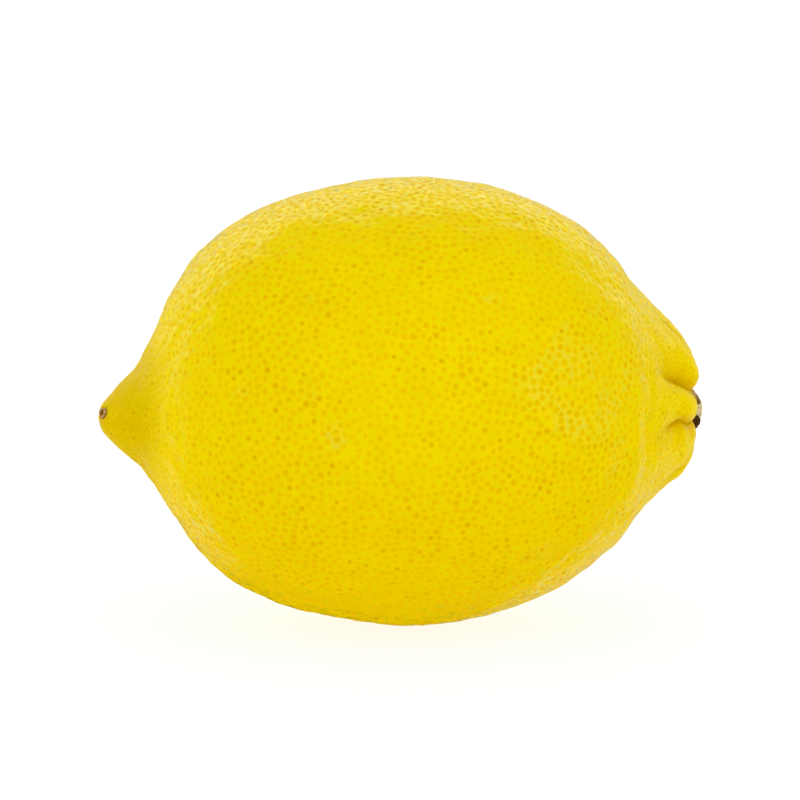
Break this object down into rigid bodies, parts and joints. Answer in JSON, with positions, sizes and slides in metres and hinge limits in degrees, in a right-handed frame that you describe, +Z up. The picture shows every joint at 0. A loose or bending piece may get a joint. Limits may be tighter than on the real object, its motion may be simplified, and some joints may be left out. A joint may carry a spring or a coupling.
{
  "type": "lemon",
  "caption": "Whole lemon lying on its side: dimpled oval fruit with a nipple at one end and a creased, lobed collar round a dried calyx and clipped stem at the other.",
  "frame": {"origin": "on the surface the lemon rests on, under the middle of its bounding box", "axes": "+X along the core line from the nipple towards the stem, +Z up from the small flat it rests on, +Y across"},
  "size_m": [0.0862, 0.0648, 0.0634],
  "materials": {
    "rind": "waxy citrus rind, pitted all over with oil glands, satin sheen",
    "dried_style": "dry corky plant tissue, matte",
    "dried_calyx": "withered brown sepals, dry and matte",
    "cut_stem": "clipped woody stalk, dry cream wood with dark streaks"
  },
  "bodies": {
    "root": {"fruit": "rind", "style_scar": "dried_style", "calyx": "dried_calyx", "stem_stub": "cut_stem"}
  },
  "joints": []
}
